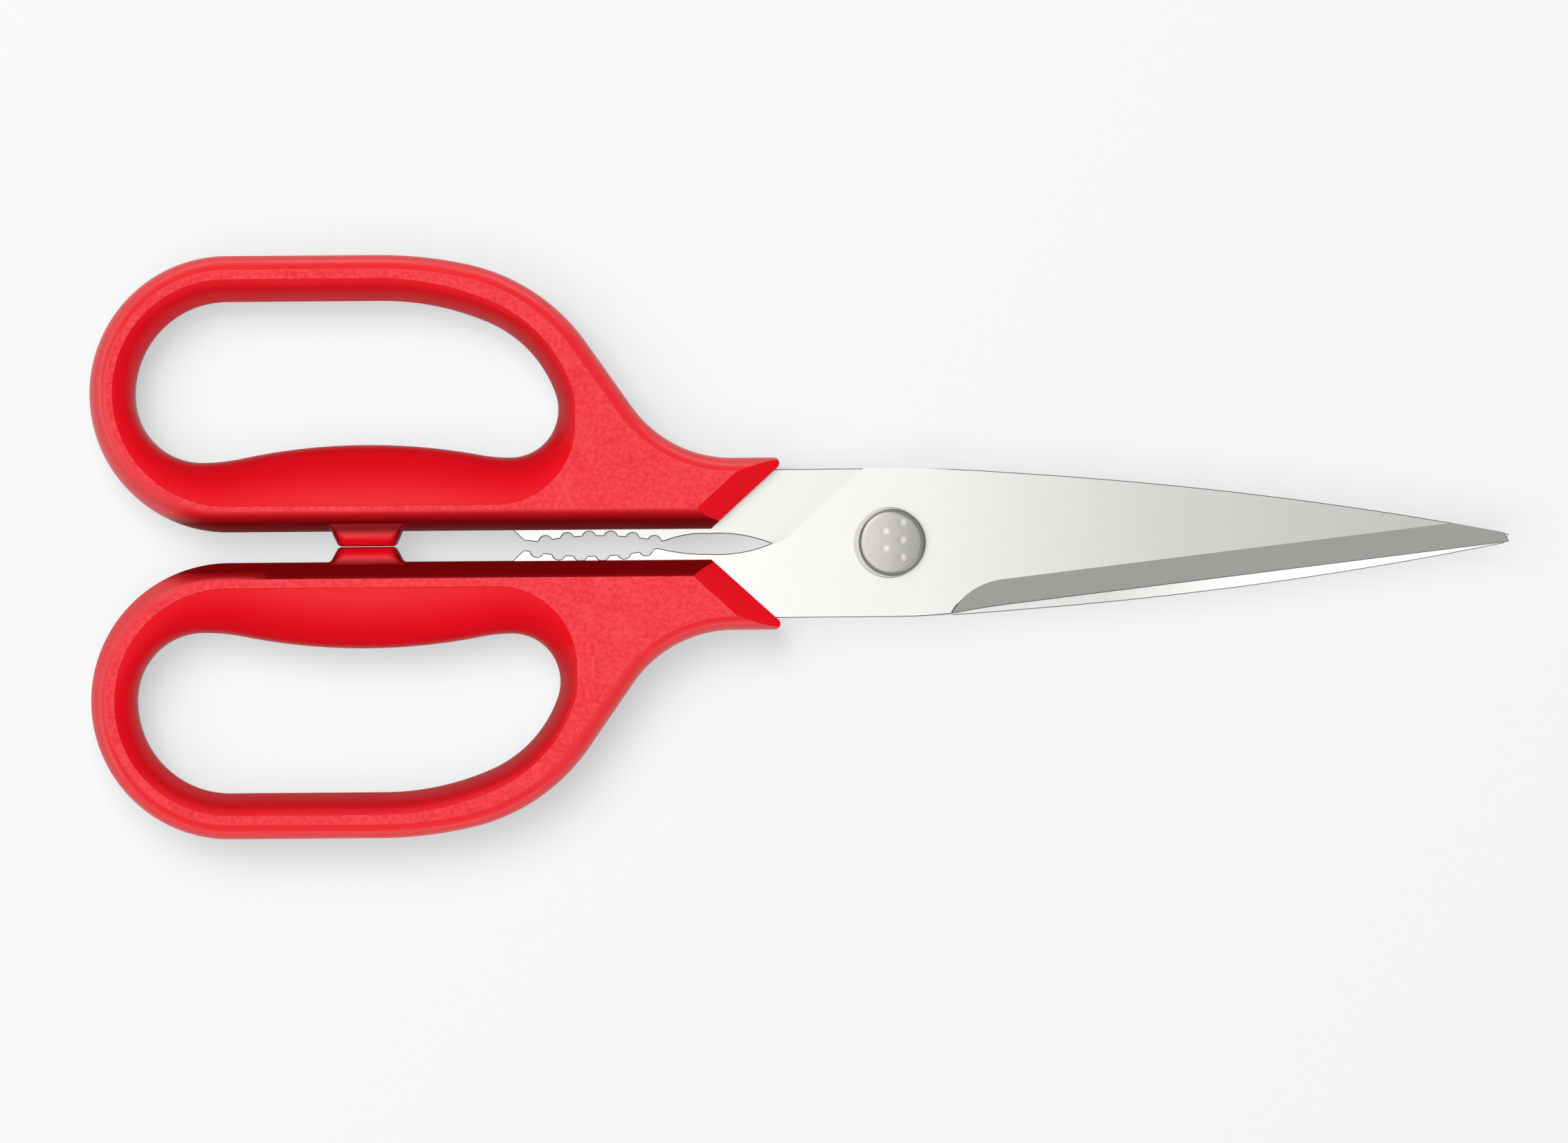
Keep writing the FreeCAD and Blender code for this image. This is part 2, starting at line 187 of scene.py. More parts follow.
def crease_path():
    """The inner edge of the handle's flat land, round the slope down to the finger hole."""
    path = Path(-LOOP_END, -CREASE_FAR)
    path.run(FAR_RUN)
    for radius, degrees in CREASE_TURNS:
        path.turn(radius, degrees)
    path.run(-CREASE_NEAR - CREASE_CORNER - path.at.y)
    path.turn(CREASE_CORNER, 90)
    path.run(path.at.x + LOOP_END)
    path.turn((CREASE_FAR - CREASE_NEAR) / 2, 180)
    return path


# The hole starts at the far side's rim and ends with a quarter turn, HOLE_END in radius.
RIM = 6.7
HOLE_END = 13.7
HOLE_TURNS = [
    (39.8, 23.5),
    (18.1, 47.1),
    (7.15, 109.4),
    (23.9, 10.8),
    (90.5, -22.4),
    (29.6, 11.6),
    (9.9, 90.0),
]


def hole_walk(far_run, end_run):
    """Once round the finger hole, from the far side, with the two straight runs given."""
    path = Path(-LOOP_END, RIM - FAR)
    path.run(far_run)
    for radius, degrees in HOLE_TURNS:
        path.turn(radius, degrees)
    path.run(end_run)
    path.turn(HOLE_END, 90)
    return path


def hole_path():
    """The finger hole, closed by the lengths of its two straight runs."""
    miss = hole_walk(1.0, 1.0).at - Vector((-LOOP_END, RIM - FAR))
    return hole_walk(1.0 - miss.x, 1.0 + miss.y)


# Legs of the crease, legs of the hole and number of points, for the stretches that face
# each other: far side, front shoulder, front end, near side, round end.
FACING = [
    ((0, 0), (0, 0), 28),
    ((1, 2), (1, 2), 52),
    ((3, 5), (3, 3), 44),
    ((6, 6), (4, 6), 72),
    ((7, 7), (7, 9), 76),
]


def hole_loops():
    """Facing points of the crease and of the finger hole."""
    crease, hole = crease_path(), hole_path()
    pairs = []
    for crease_legs, hole_legs, count in FACING:
        outer = crease.spread(*crease_legs, count)
        inner = hole.spread(*hole_legs, count)
        pairs += [(a[0], b[0]) for a, b in zip(outer, inner)]
    return pairs


# --- mesh helpers ------------------------------------------------------------------------


def add_loop(bm, points, z):
    return [bm.verts.new((point.x, point.y, z)) for point in points]


def bridge(bm, below, above):
    """Quads between two closed rows of vertices."""
    made = []
    for number in range(len(below)):
        after = (number + 1) % len(below)
        corners = (below[number], below[after], above[after], above[number])
        made.append(bm.faces.new(corners))
    return made


def loop_edges(bm, loop):
    return [bm.edges.get((a, b)) for a, b in zip(loop, loop[1:] + loop[:1])]


def finish_mesh(bm, name, materials, sharp=30.0):
    """Millimetres to metres, smooth shading split at sharp edges, and a new object."""
    bmesh.ops.recalc_face_normals(bm, faces=bm.faces)
    for face in bm.faces:
        face.smooth = True
    for edge in bm.edges:
        edge.smooth = edge.calc_face_angle(0.0) < math.radians(sharp)
    bmesh.ops.scale(bm, vec=(MM, MM, MM), verts=bm.verts)
    mesh = bpy.data.meshes.new(name)
    for material in materials:
        mesh.materials.append(material)
    bm.to_mesh(mesh)
    bm.free()
    piece = bpy.data.objects.new(name, mesh)
    bpy.context.scene.collection.objects.link(piece)
    return piece


PIECE_SHARP = 20.0
LEVEL, LEVEL_SHARP = 0.9999, 1.0


def resharpen(piece):
    """Smooth shading, split at sharp edges and all round the level faces."""
    bm = bmesh.new()
    bm.from_mesh(piece.data)
    for face in bm.faces:
        face.smooth = True
    for edge in bm.edges:
        level = any(abs(face.normal.z) > LEVEL for face in edge.link_faces)
        sharp = LEVEL_SHARP if level else PIECE_SHARP
        edge.smooth = edge.calc_face_angle(0.0) < math.radians(sharp)
    bm.to_mesh(piece.data)
    bm.free()


# --- handles -----------------------------------------------------------------------------

HOLE_WALL = 1.0
WIDE_SLOPE = 5.0
SLOPE_BLEND = 1.5
NARROW_STRAIGHT = 0.6
ROUND_END = math.radians(68)
ROUND_STEPS = 9
LAND_RISE = 0.15
LAND_BEVEL = 0.13
PARTING_RISE = 0.05


def side_profile(width, wall, straight):
    """Insets and heights above the middle plane, from the upright wall to the land.

    The climb is an elliptic rounding, blended with a straight slope, from the wall to the
    land's foot, and a last short step onto the land.
    """
    foot = MIDDLE - LAND_RISE
    rows = []
    for step in range(ROUND_STEPS + 1):
        angle = ROUND_END * step / ROUND_STEPS
        inset = (1 - math.cos(angle)) / (1 - math.cos(ROUND_END))
        climb = math.sin(angle) / math.sin(ROUND_END)
        inset += (climb - inset) * straight
        rows.append((width * inset, wall + (foot - wall) * climb))
    return rows + [(width + LAND_BEVEL, MIDDLE)]


def side_inset(shape, height):
    """How far in the side lies at a height above the middle plane."""
    rows = side_profile(*shape)
    for (inset, low), (deeper, high) in zip(rows, rows[1:]):
        if low <= height <= high:
            return inset + (deeper - inset) * (height - low) / (high - low)
    return 0.0


def cut_away(bm, faces, point, normal, material):
    """Cut part of a closed mesh off along a plane and close it with one flat face."""
    # Dicts keep their order, so that every run makes the same mesh.
    edges = dict.fromkeys(edge for face in faces for edge in face.edges)
    verts = dict.fromkeys(vert for face in faces for vert in face.verts)
    cut = bmesh.ops.bisect_plane(
        bm,
        geom=[*verts, *edges, *faces],
        plane_co=point,
        plane_no=normal,
        clear_outer=True,
        dist=1e-4,
    )
    rim = [item for item in cut["geom_cut"] if isinstance(item, bmesh.types.BMEdge)]
    for face in bmesh.ops.contextual_create(bm, geom=rim)["faces"]:
        face.material_index = material


FACET_RUN, FACET_DROP = 3.6, 2.6
TIP_ROUND = 0.8
TIP_STEPS = 7


def shape_collar(bm):
    """The slanting end, the two facets that thin it and its rounded point."""
    along = (COLLAR_HEEL - COLLAR_TIP).normalized()
    outward = Vector((along.y, -along.x, 0.0))
    tip = COLLAR_TIP.to_3d()
    cut_away(bm, bm.faces[:], tip, outward, SMOOTH)
    for side in (1, -1):
        lean = (outward * FACET_DROP + Vector((0, 0, side * FACET_RUN))).normalized()
        ridge = tip - outward * FACET_RUN + Vector((0, 0, side * MIDDLE))
        cut_away(bm, bm.faces[:], ridge, lean, SMOOTH)

    halfway = (along + Vector((-1.0, 0.0))).normalized()
    half_angle = along.angle(Vector((-1.0, 0.0))) / 2
    centre = (COLLAR_TIP + halfway * (TIP_ROUND / math.sin(half_angle))).to_3d()
    first, last = -math.pi / 2, math.atan2(outward.y, outward.x)
    for step in range(1, TIP_STEPS):
        angle = first + (last - first) * step / TIP_STEPS
        normal = Vector((math.cos(angle), math.sin(angle), 0.0))
        by_tip = [
            face for face in bm.faces
            if any((vert.co.xy - centre.xy).length < 3 * TIP_ROUND for vert in face.verts)
        ]
        cut_away(bm, by_tip, centre + normal * TIP_ROUND, normal, SMOOTH)


def add_side(bm, columns):
    """Rows of quads up one side of the handle; returns the lowest and highest loops.

    Each column is a point, the direction into the wall, the rounding and the material.
    """
    sides = [side_profile(*column[2]) for column in columns]
    steps = len(sides[0])
    rows = []
    for step in [*range(-steps, 0), None, *range(steps)]:
        row = []
        for (point, inward, *_), side in zip(columns, sides):
            if step is None:
                inset, z = -PARTING_RISE, 0.0
            elif step < 0:
                inset, z = side[-step - 1]
                z = -z
            else:
                inset, z = side[step]
            spot = point + inward * inset
            row.append(bm.verts.new((spot.x, spot.y, z)))
        rows.append(row)
    for below, above in zip(rows, rows[1:]):
        for face, column in zip(bridge(bm, below, above), columns):
            face.material_index = column[3]
    return rows[0], rows[-1]


def handle_shell(gap):
    """The handle about its middle plane, without its stop pad."""
    bm = bmesh.new()
    outer_ends = add_side(bm, outside_loop(gap))
    columns = []
    for crease, hole in hole_loops():
        slope = crease - hole
        narrow = max(0.0, min(1.0, (WIDE_SLOPE - slope.length) / SLOPE_BLEND))
        shape = (slope.length, HOLE_WALL, narrow * NARROW_STRAIGHT)
        columns.append((hole, slope.normalized(), shape, SMOOTH))
    inner_ends = add_side(bm, columns)
    for outer, inner in zip(outer_ends, inner_ends):
        edges = loop_edges(bm, outer) + loop_edges(bm, inner)
        filled = bmesh.ops.triangle_fill(bm, use_beauty=True, edges=edges, normal=(0, 0, 1))
        for face in filled["geom"]:
            if isinstance(face, bmesh.types.BMFace):
                face.material_index = TEXTURED
    bmesh.ops.recalc_face_normals(bm, faces=bm.faces)
    shape_collar(bm)
    return bm


STOP_MIDDLE = -77.6
STOP_HALF_THICK = 3.0
STOP_GAP = 0.05
STOP_ROOT = 11.8
STOP_BEND = 0.8
STOP_SLANT = 62.0
STOP_ROOTED = 3.0
STOP_NOSE = 1.5
STOP_TAPER = 0.8
STOP_STEPS = 7
STOP_POINTS = 6


def stop_plan():
    """Half the pad's plan, from the handle's side to the middle of the face that meets."""
    slant = math.radians(STOP_SLANT)
    slope = (NEAR - STOP_GAP - 2 * STOP_BEND * (1 - math.cos(slant))) / math.sin(slant)
    path = Path(STOP_ROOT / 2, -NEAR, 180)
    path.turn(STOP_BEND, -STOP_SLANT)
    path.run(slope)
    path.turn(STOP_BEND, STOP_SLANT)
    path.run(path.at.x)
    half = []
    for leg in range(len(path.legs)):
        half += [point for point, _ in path.spread(leg, leg, STOP_POINTS)]
    return half


def stop_pad(gap, materials):
    """The pad that meets the other handle's: slanting sides and a bull-nosed face."""
    half = stop_plan()
    bm = bmesh.new()
    rows = []
    for step in [*range(-STOP_STEPS, 0), *range(1, STOP_STEPS + 1)]:
        angle = math.pi / 2 * (abs(step) - 1) / (STOP_STEPS - 1)
        inset = STOP_NOSE * (1 - math.cos(angle))
        height = STOP_HALF_THICK - STOP_NOSE * (1 - math.sin(angle))
        root = side_inset(gap, height)
        row = [Vector((STOP_ROOT / 2, -NEAR - STOP_ROOTED))]
        for point in half:
            out = (point.y + NEAR) / (NEAR - STOP_GAP)
            narrow = 1 - STOP_TAPER * inset * out / STOP_ROOT
            row.append(Vector((point.x * narrow, point.y - inset * out - root * (1 - out))))
        row += [Vector((-point.x, point.y)) for point in reversed(row)]
        for point in row:
            point.x += STOP_MIDDLE
        rows.append(add_loop(bm, row, math.copysign(height, step)))
    for below, above in zip(rows, rows[1:]):
        bridge(bm, below, above)
    bm.faces.new(rows[0])
    bm.faces.new(rows[-1])
    for face in bm.faces:
        face.material_index = STOP
    return finish_mesh(bm, "stop_pad", materials)


def unite(piece, other):
    """Join another closed mesh into the piece, and drop the other."""
    join = piece.modifiers.new("join", "BOOLEAN")
    join.operation = "UNION"
    join.object = other
    join.solver = "EXACT"
    graph = bpy.context.evaluated_depsgraph_get()
    joined = bpy.data.meshes.new_from_object(piece.evaluated_get(graph))
    piece.modifiers.clear()
    piece.data = joined
    bpy.data.objects.remove(other)


def make_handle(name, gap, turned, materials):
    """A finished handle; the rear one is turned half a turn about X."""
    piece = finish_mesh(handle_shell(gap), name, materials)
    unite(piece, stop_pad(gap, materials))
    resharpen(piece)
    for vert in piece.data.vertices:
        if turned:
            vert.co.y, vert.co.z = -vert.co.y, -vert.co.z
        vert.co.z += MIDDLE * MM
    return piece


# --- steel -------------------------------------------------------------------------------


def within(boxes, point, side):
    """Whether a point lies in one of the boxes in plan; side -1 mirrors Y for the rear half."""
    return any(x0 < point.x < x1 and y0 < side * point.y < y1 for x0, x1, y0, y1 in boxes)


COPLANAR = 0.4


def softened(node, name, materials, width, angle=25.0, segments=2, side=0, crisp=()):
    """A copy of a CAD node with its coplanar facets merged and its edges broken.

    Edges in the crisp boxes stay as they are.
    """
    bm = bmesh.new()
    bm.from_mesh(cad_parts[node].data)
    bmesh.ops.remove_doubles(bm, verts=bm.verts, dist=1e-6)
    bmesh.ops.dissolve_limit(
        bm, angle_limit=math.radians(COPLANAR), verts=bm.verts, edges=bm.edges
    )
    bmesh.ops.scale(bm, vec=(1 / MM, 1 / MM, 1 / MM), verts=bm.verts)
    edges = [
        edge for edge in bm.edges
        if edge.calc_face_angle(0.0) > math.radians(angle)
        and not within(crisp, (edge.verts[0].co + edge.verts[1].co) / 2, side)
    ]
    bmesh.ops.bevel(
        bm,
        geom=edges,
        offset=width,
        segments=segments,
        profile=0.5,
        affect="EDGES",
        clamp_overlap=False,
    )
    piece = finish_mesh(bm, name, materials)
    resharpen(piece)
    return piece


# Widths of the broken edges: a flat on the blades, where they turn by more than the angle,
# and a small round on the washers and the nut.
BLADE_EDGE, BLADE_EDGE_ANGLE = 0.12, 35.0
WASHER_EDGE, NUT_EDGE = 0.1, 0.12

BEARING, THREAD, NECK_FLAT = 3.0, 2.5, 2.6
THREAD_CHAMFER, HEAD_CHAMFER = 0.3, 0.15
HEAD_SOFT, HEAD_CROWN = 0.8, 0.11
HEAD_SOFT_STEPS = 8
HEAD_FACE_STEP = 0.12
SCREW_SHARP = 35.0
DIMPLES = [(1.47, 2.96), (-1.03, 1.69), (1.47, 0.41), (-1.03, -0.86), (1.47, -2.18)]
DIMPLE_RADIUS = 0.75
DIMPLE_DEPTH = 0.02
AROUND = 144


def screw(materials):
    """Pivot screw turned in one piece, with shallow dimples in its domed head."""
    low, high = (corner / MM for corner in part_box("pivot_screw"))
    washer_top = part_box("head_washer")[1].z / MM
    neck_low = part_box("rear_blade")[0].z / MM
    neck_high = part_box("rear_blade")[1].z / MM
    head = high.x
    rim_top = high.z - HEAD_CROWN
    rings = [
        (0.0, low.z),
        (THREAD - THREAD_CHAMFER, low.z),
        (THREAD, low.z + THREAD_CHAMFER),
        (THREAD, neck_low),
        (BEARING, neck_low),
        (BEARING, neck_high),
        (BEARING, washer_top),
        (head - HEAD_CHAMFER, washer_top),
        (head, washer_top + HEAD_CHAMFER),
    ]
    face = head - HEAD_SOFT
    for step in range(HEAD_SOFT_STEPS + 1):
        angle = math.pi / 2 * step / HEAD_SOFT_STEPS
        up = HEAD_SOFT * math.sin(angle)
        rings.append((face + HEAD_SOFT * math.cos(angle), rim_top - HEAD_SOFT + up))
    steps = round(face / HEAD_FACE_STEP)
    for step in range(1, steps + 1):
        share = 1 - step / steps
        rings.append((face * share, rim_top + HEAD_CROWN * (1 - share**2)))

    bm = bmesh.new()
    hollow = bm.verts.layers.float.new("dimple")
    rows = []
    for radius, z in rings:
        if radius == 0.0:
            rows.append([bm.verts.new((0.0, 0.0, z))])
            continue
        row = []
        for number in range(AROUND):
            angle = 2 * math.pi * number / AROUND
            row.append(bm.verts.new((radius * math.cos(angle), radius * math.sin(angle), z)))
        rows.append(row)
    for below, above in zip(rows, rows[1:]):
        if len(below) > 1 and len(above) > 1:
            bridge(bm, below, above)
            continue
        pole, rim = (below[0], above) if len(below) == 1 else (above[0], below)
        for number in range(AROUND):
            bm.faces.new((pole, rim[number], rim[(number + 1) % AROUND]))
    for vert in bm.verts:
        in_neck = neck_low - 0.01 < vert.co.z < neck_high + 0.01
        if in_neck and vert.co.xy.length > THREAD + 0.1:
            vert.co.y = max(-NECK_FLAT, min(NECK_FLAT, vert.co.y))
        if vert.co.z > rim_top:
            for x, y in DIMPLES:
                off = (vert.co.xy - Vector((x, y))).length / DIMPLE_RADIUS
                if off < 1:
                    vert[hollow] = (1 - off**2) ** 2
                    vert.co.z -= DIMPLE_DEPTH * vert[hollow]
    return finish_mesh(bm, "pivot_screw_turned", materials, SCREW_SHARP)


# --- materials ---------------------------------------------------------------------------


class Nodes:
    """Short-hand for building one material's node tree."""

    def __init__(self, name):
        self.material = bpy.data.materials.new(name)
        self.material.use_nodes = True
        self.tree = self.material.node_tree
        self.shader = self.tree.nodes["Principled BSDF"]

    def add(self, kind, inputs=None, **settings):
        node = self.tree.nodes.new(kind)
        for key, value in settings.items():
            setattr(node, key, value)
        for key, value in (inputs or {}).items():
            if isinstance(value, bpy.types.NodeSocket):
                self.tree.links.new(value, node.inputs[key])
            else:
                node.inputs[key].default_value = value
        return node

    def set(self, **inputs):
        for key, value in inputs.items():
            socket = self.shader.inputs[key.replace("_", " ")]
            if isinstance(value, bpy.types.NodeSocket):
                self.tree.links.new(value, socket)
            else:
                socket.default_value = value

    def place(self, scale):
        """Object coordinates in millimetres, stretched."""
        where = self.add("ShaderNodeTexCoord")
        return self.add(
            "ShaderNodeMapping",
            {"Vector": where.outputs["Object"], "Scale": [s / MM for s in scale]},
        ).outputs["Vector"]

    def noise(self, scale, detail=2.0, roughness=0.5, stretch=(1, 1, 1)):
        return self.add(
            "ShaderNodeTexNoise",
            {
                "Vector": self.place(stretch),
                "Scale": scale,
                "Detail": detail,
                "Roughness": roughness,
            },
        ).outputs["Fac"]

    def span(self, fac, low, high, start=0.3, end=0.7):
        """A number that follows fac from low to high."""
        return self.add(
            "ShaderNodeMapRange",
            {"Value": fac, "From Min": start, "From Max": end, "To Min": low, "To Max": high},
        ).outputs["Result"]

    def tint(self, fac, dark, light):
        mix = self.add("ShaderNodeMix", {"Factor": fac}, data_type="RGBA")
        mix.inputs["A"].default_value = (*dark, 1)
        mix.inputs["B"].default_value = (*light, 1)
        return mix.outputs["Result"]

    def axis(self, name):
        """One of the object coordinates, in millimetres."""
        axes = self.add("ShaderNodeSeparateXYZ", {0: self.place((1, 1, 1))})
        return axes.outputs[name]

    def math(self, operation, first, second=0.0):
        return self.add(
            "ShaderNodeMath", {0: first, 1: second}, operation=operation
        ).outputs[0]

    def blend(self, fac, colour, other):
        """A made colour that turns into another as fac rises."""
        mix = self.add("ShaderNodeMix", {"Factor": fac}, data_type="RGBA")
        self.tree.links.new(colour, mix.inputs["A"])
        mix.inputs["B"].default_value = (*other, 1)
        return mix.outputs["Result"]

    def bump(self, height, strength, depth):
        return self.add(
            "ShaderNodeBump",
            {"Height": height, "Strength": strength, "Distance": depth * MM},
        ).outputs["Normal"]


# Colour and gloss of the painted shade on the handles' plastic.
PAINTED_SHADE_RED = (0.23, 0.001, 0.003)
PAINTED_SHADE_GLOSS = 0.03


def smooth_plastic(name, gloss, *shadows):
    """Moulded red plastic from polished tool faces, with faint flow marks.

    A shadow is painted shade: an axis, a middle on it and two distances in millimetres; the
    plastic is painted darker and duller from the first distance to the second.
    """
    made = Nodes(name)
    flow = made.noise(0.08, 3.0, 0.5)
    fine = made.noise(3.0, 2.0)
    colour = made.tint(flow, (0.76, 0.001, 0.008), (0.81, 0.002, 0.011))
    painted_shade = None
    for axis, middle, clean, dark in shadows:
        off = made.math("SUBTRACT", made.axis(axis), middle)
        shadow = made.span(made.math("ABSOLUTE", off), 0.0, 1.0, clean, dark)
        painted_shade = made.math("MAXIMUM", painted_shade, shadow) if painted_shade else shadow
    # Painted shade: a darker colour and less gloss where the mask rises.
    if painted_shade:
        colour = made.blend(painted_shade, colour, PAINTED_SHADE_RED)
        gloss = made.span(painted_shade, gloss, PAINTED_SHADE_GLOSS, 0.0, 1.0)
    made.set(
        Base_Color=colour,
        Roughness=made.span(flow, 0.34, 0.42),
        Specular_IOR_Level=gloss,
        Normal=made.bump(fine, 0.10, 0.01),
    )
    return made.material


def textured_plastic():
    """The same plastic from spark-eroded tool faces: a fine matt grain."""
    made = Nodes("handle_textured_red")
    grain = made.noise(1.5, 3.0, 0.7)
    patch = made.noise(0.2, 3.0, 0.6)
    speck = made.span(grain, 0.0, 1.0, 0.38, 0.62)
    both = made.math("ADD", speck, patch)
    made.set(
        Base_Color=made.tint(
            made.span(both, 0.0, 1.0, 0.3, 1.5), (0.77, 0.010, 0.022), (0.91, 0.056, 0.070)
        ),
        Roughness=made.span(grain, 0.48, 0.62),
        Specular_IOR_Level=0.12,
        Normal=made.bump(grain, 0.5, 0.10),
    )
    return made.material


# How the grinding lines' pattern is stretched.
ALONG_BLADE, ACROSS_BLADE, EVEN = (0.05, 1, 1), (1, 0.05, 0.05), (1, 1, 1)


def steel(name, base, rough, stretch, depth, painted_light_to_tip=None):
    """Ground stainless steel; stretch gives the grinding lines their direction.

    Towards the tip the base colour may change, as painted light: the other colour, and where
    along X the change starts and ends.
    """
    made = Nodes(name)
    lines = made.noise(6.0, 3.0, 0.6, stretch)
    cloud = made.noise(0.06, 2.0, 0.5)
    dark = tuple(0.975 * part for part in base)
    colour = made.tint(cloud, dark, base)
    # Painted light: the base colour turns darker or lighter along X towards the tip.
    if painted_light_to_tip:
        other, start, end = painted_light_to_tip
        along = made.span(made.axis("X"), 0.0, 1.0, start, end)
        colour = made.blend(along, colour, other)
    made.set(
        Base_Color=colour,
        Metallic=1.0,
        Roughness=made.span(lines, rough - 0.01, rough + 0.015),
        Normal=made.bump(cloud, 0.2, depth),
    )
    return made.material


def head_steel():
    """Satin screw head with a painted highlight in each dimple: a lighter base colour there."""
    made = Nodes("pivot_head_steel")
    satin = made.noise(5.0, 3.0, 0.6)
    hollow = made.add("ShaderNodeAttribute", attribute_name="dimple").outputs["Fac"]
    made.set(
        # Painted highlight: the base colour lightens where the dimple attribute rises.
        Base_Color=made.tint(hollow, (0.265, 0.258, 0.246), (0.37, 0.362, 0.35)),
        Metallic=1.0,
        Roughness=made.span(satin, 0.27, 0.33),
        Normal=made.bump(satin, 0.08, 0.005),
    )
    return made.material


FLOOR_ALBEDO, FLOOR_GLOW = 0.51, 0.53


def white_floor():
    """Pale floor that glows a little, as a table lit from below does.

    Diffuse rays don't see the glow, so that it lights nothing else.
    """
    made = Nodes("studio_floor")
    tree = made.tree
    made.set(Base_Color=(FLOOR_ALBEDO, FLOOR_ALBEDO, FLOOR_ALBEDO, 1), Roughness=1.0)
    made.shader.inputs["Specular IOR Level"].default_value = 0.0
    glow = made.add("ShaderNodeEmission", {"Color": (1, 1, 0.997, 1)})
    ray = made.add("ShaderNodeLightPath")
    level = made.add(
        "ShaderNodeMapRange",
        {"Value": ray.outputs["Is Diffuse Ray"], "To Min": FLOOR_GLOW, "To Max": 0.0},
    )
    tree.links.new(level.outputs[0], glow.inputs["Strength"])
    both = made.add("ShaderNodeAddShader")
    tree.links.new(made.shader.outputs[0], both.inputs[0])
    tree.links.new(glow.outputs[0], both.inputs[1])
    tree.links.new(both.outputs[0], tree.nodes["Material Output"].inputs["Surface"])
    return made.material


# --- putting it together -----------------------------------------------------------------

# The groups of objects that have lamps of their own.
LIT = {
    group: bpy.data.collections.new(f"lit_{group}") for group in ("floor", "steel", "plastic")
}


def dress(piece, body, slot, *nodes):
    """Body, lamps and the CAD nodes that a finished piece stands for; the slot only picks the
    lamps.
    """
    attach(piece, body)
    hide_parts(*nodes)
    # Diffuse rays pass it by, so that no red light falls on the floor.
    piece.visible_diffuse = False
    LIT["plastic" if slot == "handle_plastic" else "steel"].objects.link(piece)


# Materials of a blade's faces, in the order of its material slots.
FLAT, BEVEL, INNER, EDGE = 0, 1, 2, 3

# Edges left crisp and without the painted shade of the edge steel: the shank's slanting end
# over the other blade, and where the bevel starts; X from and to, Y from and to, for the front
# blade.
CRISP_EDGES = [(-17.8, 8.0, -1.0, 12.0), (8.0, 17.0, -9.0, 5.0)]

# Between these heights of its normal a face belongs to the ground bevel.
BEVEL_UP = (0.8, 0.95)


def sort_blade_faces(piece, inner_z, inner_up):
    """Give the ground bevel, the inner face and the broken edges their own materials."""
    for face in piece.data.polygons:
        up = face.normal.z
        crisp = within(CRISP_EDGES, face.center / MM, -inner_up)
        if BEVEL_UP[0] < abs(up) < BEVEL_UP[1]:
            face.material_index = BEVEL
        elif up * inner_up > 0.99 and abs(face.center.z / MM - inner_z) < 0.05:
            face.material_index = INNER
        # Broken edges take the dark edge steel, a painted shade line.
        elif abs(up) < BEVEL_UP[0] and not crisp:
            face.material_index = EDGE
        else:
            face.material_index = FLAT


# Painted shade between the handles, and where along the handles it starts.
NEAR_SHADOW = ("Y", 0.0, 5.2, 3.6)
NEAR_SHADOW_START = ("X", 0.0, 98.5, 92.0)

plastic = [
    smooth_plastic("handle_smooth_red", 0.14),
    textured_plastic(),
    # Painted shade on the rims by the gap, and on the sides between the handles.
    smooth_plastic("handle_rim_red_painted_shade", 0.55, NEAR_SHADOW),
    smooth_plastic("handle_between_red_painted_shade", 0.55, NEAR_SHADOW, NEAR_SHADOW_START),
    # The stop pad's painted shade: darker towards its sides and towards its root.
    smooth_plastic(
        "handle_stop_red_painted_shade", 0.14, ("X", STOP_MIDDLE, 3.2, 4.7), ("Y", 0.0, 1.5, 2.5)
    ),
]
blade_finishes = [
    # Painted reflection: the blade's steel turns darker towards the tip.
    steel(
        "blade_brushed_steel",
        (0.427, 0.424, 0.415),
        0.28,
        ALONG_BLADE,
        0.01,
        painted_light_to_tip=((0.37, 0.366, 0.357), 5.0, 40.0),
    ),
    steel("blade_bevel_steel", (0.415, 0.41, 0.40), 0.30, ACROSS_BLADE, 0.002),
    # Painted highlight: the inner face's steel turns much lighter towards the tip.
    steel(
        "blade_inner_steel",
        (0.41, 0.407, 0.398),
        0.30,
        ALONG_BLADE,
        0.01,
        painted_light_to_tip=((0.76, 0.76, 0.75), 31.5, 69.5),
    ),
    # Painted shade: the broken edges' steel is dark, for the dark lines along the blades'
    # edges.
    steel("blade_edge_painted_shade_steel", (0.15, 0.148, 0.143), 0.35, EVEN, 0.002),
]
head_finish = head_steel()
fastener_finish = steel("pivot_washer_steel", (0.33, 0.325, 0.31), 0.3, EVEN, 0.01)

front_moulding = make_handle("front_handle_moulding", FRONT_GAP, False, plastic)
rear_moulding = make_handle("rear_handle_moulding", REAR_GAP, True, plastic)
dress(front_moulding, "front_half", "handle_plastic", "front_handle")
dress(rear_moulding, "rear_half", "handle_plastic", "rear_handle")

for half, body in (("front", "front_half"), ("rear", "rear_half")):
    node = f"{half}_blade"
    low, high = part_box(node)
    inner_up = -1 if half == "front" else 1
    blade = softened(
        node,
        f"{node}_ground",
        blade_finishes,
        BLADE_EDGE,
        angle=BLADE_EDGE_ANGLE,
        segments=1,
        side=-inner_up,
        crisp=CRISP_EDGES,
    )
    sort_blade_faces(blade, (low if half == "front" else high).z / MM, inner_up)
    dress(blade, body, "blade_steel", node)

dress(screw([head_finish]), "rear_half", "pivot_steel", "pivot_screw")
for node, width in (
    ("head_washer", WASHER_EDGE),
    ("nut_washer", WASHER_EDGE),
    ("pivot_nut", NUT_EDGE),
):
    edged = softened(node, f"{node}_edged", [fastener_finish], width)
    dress(edged, "rear_half", "pivot_steel", node)


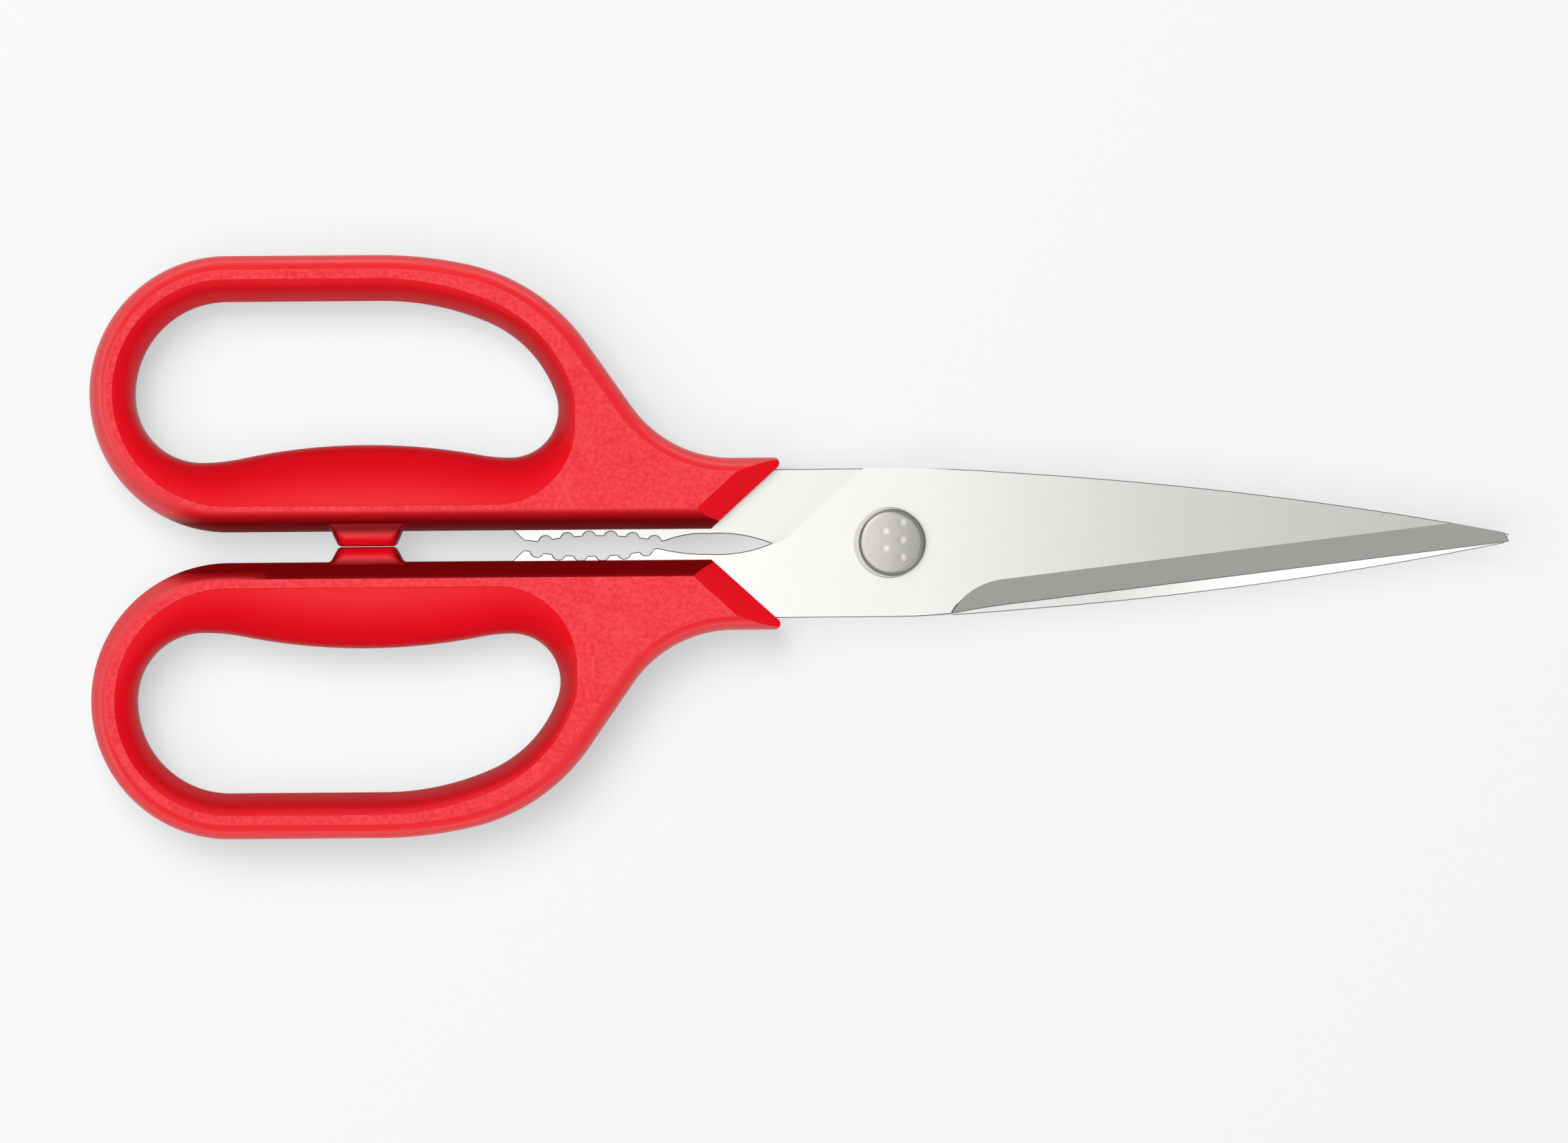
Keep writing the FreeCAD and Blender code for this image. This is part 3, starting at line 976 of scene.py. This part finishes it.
def softbox(name, group, place, aim, width, height, radiance, shadows=None):
    """A rectangular lamp whose face has the given radiance, for one group of objects.

    If shadows names a group, only that group's pieces throw shadows.
    """
    data = bpy.data.lights.new(name, "AREA")
    data.shape = "RECTANGLE"
    data.size, data.size_y = width, height
    data.energy = radiance * math.pi * width * height
    data.cycles.use_multiple_importance_sampling = group == "steel"
    lamp = bpy.data.objects.new(name, data)
    lamp.location = place
    lamp.rotation_euler = (Vector(aim) - Vector(place)).to_track_quat("-Z", "Y").to_euler()
    lamp.light_linking.receiver_collection = LIT[group]
    if shadows:
        lamp.light_linking.blocker_collection = LIT[shadows]
    bpy.context.scene.collection.objects.link(lamp)


WALL_GREY = (0.78, 0.78, 0.765)
WHITE = (0.95, 0.95, 0.95)


def room():
    """What the steel reflects beyond the lamps: grey walls; the camera sees them white."""
    world = bpy.data.worlds.new("room")
    bpy.context.scene.world = world
    world.use_nodes = True
    tree = world.node_tree
    back = tree.nodes["Background"]
    back.inputs["Color"].default_value = (*WALL_GREY, 1)
    white = tree.nodes.new("ShaderNodeBackground")
    white.inputs["Color"].default_value = (*WHITE, 1)
    ray = tree.nodes.new("ShaderNodeLightPath")
    mix = tree.nodes.new("ShaderNodeMixShader")
    tree.links.new(ray.outputs["Is Camera Ray"], mix.inputs["Fac"])
    tree.links.new(back.outputs["Background"], mix.inputs[1])
    tree.links.new(white.outputs["Background"], mix.inputs[2])
    tree.links.new(mix.outputs["Shader"], tree.nodes["World Output"].inputs["Surface"])
    world.cycles_visibility.diffuse = False


# Each lamp: name, what it lights, place, aim, width, height, radiance and, if not all of
# them, the group that throws shadows.
LAMPS = [
    ("floor_ceiling", "floor", (-1.65, 0, 2.5), (-1.65, 0, 0), 4.0, 4.0, 1.30),
    ("floor_key", "floor", (-0.45, 0.75, 1.6), (0, 0, 0), 1.2, 1.2, 3.4, "plastic"),
    ("steel_ceiling", "steel", (-1.92, 0, 2.5), (-1.92, 0, 0), 4.0, 4.0, 1.55),
    ("steel_panel", "steel", (-0.50, 0.1, 2.0), (-0.30, 0, 0), 1.2, 1.2, 0.95),
    ("steel_key", "steel", (-0.8, 1.15, 1.35), (0, 0, 0), 1.4, 1.4, 2.0),
    ("steel_fill", "steel", (0.9, -1.0, 1.7), (0, 0, 0), 0.9, 0.9, 1.6),
    ("plastic_top", "plastic", (0, 0, 2.2), (0, 0, 0), 1.6, 1.6, 6.8),
    ("plastic_fill", "plastic", (1.1, -0.8, 1.2), (0, 0, 0), 0.9, 0.9, 0.9),
    ("plastic_back", "plastic", (0, 2.0, 0.06), (0, 0, 0.06), 3.6, 0.08, 18.0),
    ("plastic_front", "plastic", (0, -2.0, 0.06), (0, 0, 0.06), 3.6, 0.08, 11.0),
    ("plastic_end", "plastic", (-2.0, 0, 0.06), (0, 0, 0.06), 3.6, 0.08, 13.0),
]


FLOOR_RADIUS, FLOOR_BELOW = 9.0, 0.0002


def studio():
    """Pale floor, grey room and the lamps."""
    bpy.ops.mesh.primitive_circle_add(vertices=96, radius=FLOOR_RADIUS, fill_type="NGON")
    floor = bpy.context.object
    floor.name = "floor"
    floor.location.z = -FLOOR_BELOW
    floor.data.materials.append(white_floor())
    floor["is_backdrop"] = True
    LIT["floor"].objects.link(floor)
    room()
    for lamp in LAMPS:
        softbox(*lamp)
    bpy.context.scene.view_settings.view_transform = "Standard"


PICTURE_WIDTH = 0.23315
PICTURE_CENTRE = (-0.01598, -0.00416)
CAMERA_HEIGHT = 1.3
CAMERA_ROLL = -0.45


def camera():
    """Straight above the shears, a long lens, turned by a hair."""
    data = bpy.data.cameras.new("camera")
    data.sensor_width = 36.0
    data.lens = data.sensor_width * CAMERA_HEIGHT / PICTURE_WIDTH
    eye = bpy.data.objects.new("camera", data)
    eye.location = (*PICTURE_CENTRE, CAMERA_HEIGHT)
    eye.rotation_euler = (0, 0, math.radians(CAMERA_ROLL))
    bpy.context.scene.collection.objects.link(eye)
    bpy.context.scene.camera = eye


studio()
camera()

low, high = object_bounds()
